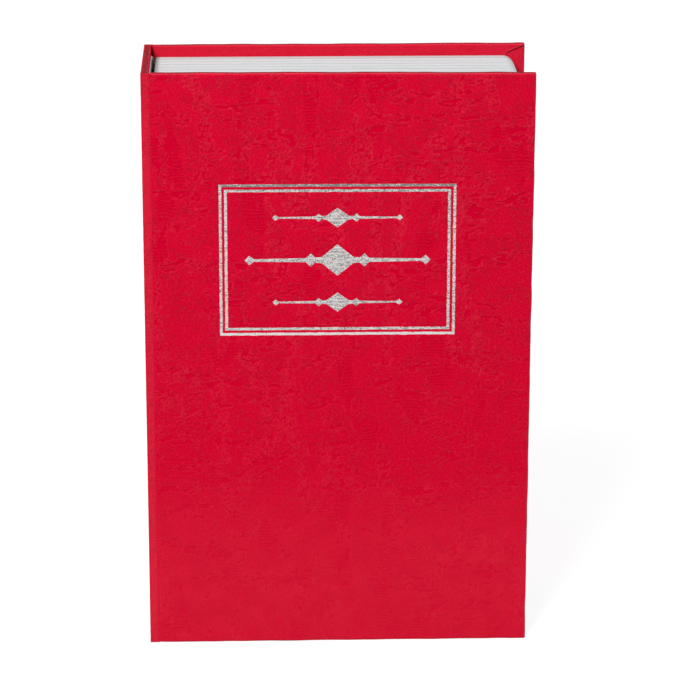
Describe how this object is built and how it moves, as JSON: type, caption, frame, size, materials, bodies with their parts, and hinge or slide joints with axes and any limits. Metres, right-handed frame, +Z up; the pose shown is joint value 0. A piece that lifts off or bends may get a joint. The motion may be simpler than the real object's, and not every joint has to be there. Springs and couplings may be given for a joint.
{
  "type": "book diversion safe",
  "caption": "Hinged steel cash box with a cam lock, hidden in a hardcover book with a swinging cover and spine.",
  "frame": {"origin": "under the middle of the closed book, on the surface that it stands on", "axes": "+Z up along the spine, front cover facing -Y, spine at -X and fore-edge at +X"},
  "size_m": [0.155, 0.055, 0.24],
  "materials": {
    "red_paper": "embossed coated paper, satin",
    "grey_board": "pressed grey board",
    "white_paper": "smooth uncoated paper",
    "silver_foil": "hot-stamped foil, slightly worn",
    "white_plastic": "moulded, soft gloss",
    "black_paint": "fine texture powder coat",
    "chrome": "polished plate",
    "zinc_steel": "bright zinc plate",
    "aluminium": "plain"
  },
  "bodies": {
    "strong_box": {"back_board": "grey_board", "back_cover_wrap": "red_paper", "back_endpaper": "white_paper", "page_block": "white_plastic", "box_shell": "black_paint", "strike_plate": "zinc_steel", "box_rivet_tail_spine": "aluminium", "box_rivet_tail_fore": "aluminium", "box_rivet_head_spine": "aluminium", "box_rivet_head_fore": "aluminium", "strike_rivet_lower": "aluminium", "strike_rivet_upper": "aluminium", "upper_hinge_box_leaf": "black_paint", "lower_hinge_box_leaf": "black_paint", "upper_hinge_pin": "zinc_steel", "lower_hinge_pin": "zinc_steel"},
    "spine": {"spine_board": "grey_board", "spine_wrap": "red_paper", "spine_lining": "white_paper"},
    "front_cover": {"front_board": "grey_board", "front_cover_wrap": "red_paper", "front_endpaper": "white_paper", "title_frame_outer": "silver_foil", "title_frame_inner": "silver_foil", "title_rule_top": "silver_foil", "title_rule_middle": "silver_foil", "title_rule_bottom": "silver_foil"},
    "lid": {"lid": "black_paint", "upper_hinge_lid_leaf": "black_paint", "lower_hinge_lid_leaf": "black_paint", "lock_body": "chrome", "lock_washer": "zinc_steel", "lock_nut": "zinc_steel"},
    "lock_plug": {"lock_plug": "chrome", "lock_cam": "zinc_steel", "lock_cam_screw": "zinc_steel"}
  },
  "joints": [
    {"name": "spine_hinge", "type": "hinge", "parent": "strong_box", "child": "spine", "pos_m": [-0.0775, 0.0275, 0], "axis": [0, 0, -1], "range_deg": [0, 90]},
    {"name": "cover_hinge", "type": "hinge", "parent": "spine", "child": "front_cover", "pos_m": [-0.0775, -0.0275, 0], "axis": [0, 0, -1], "range_deg": [0, 180]},
    {"name": "lid_hinge", "type": "hinge", "parent": "strong_box", "child": "lid", "pos_m": [-0.05885, -0.0222, 0], "axis": [0, 0, -1], "range_deg": [0, 108]},
    {"name": "lock_turn", "type": "hinge", "parent": "lid", "child": "lock_plug", "pos_m": [0.03705, -0.02185, 0.12], "axis": [0, -1, 0], "range_deg": [0, 90]}
  ],
  "couplings": [
    {"joint": "lid_hinge", "follows": "cover_hinge", "ratio": 0.6}
  ]
}
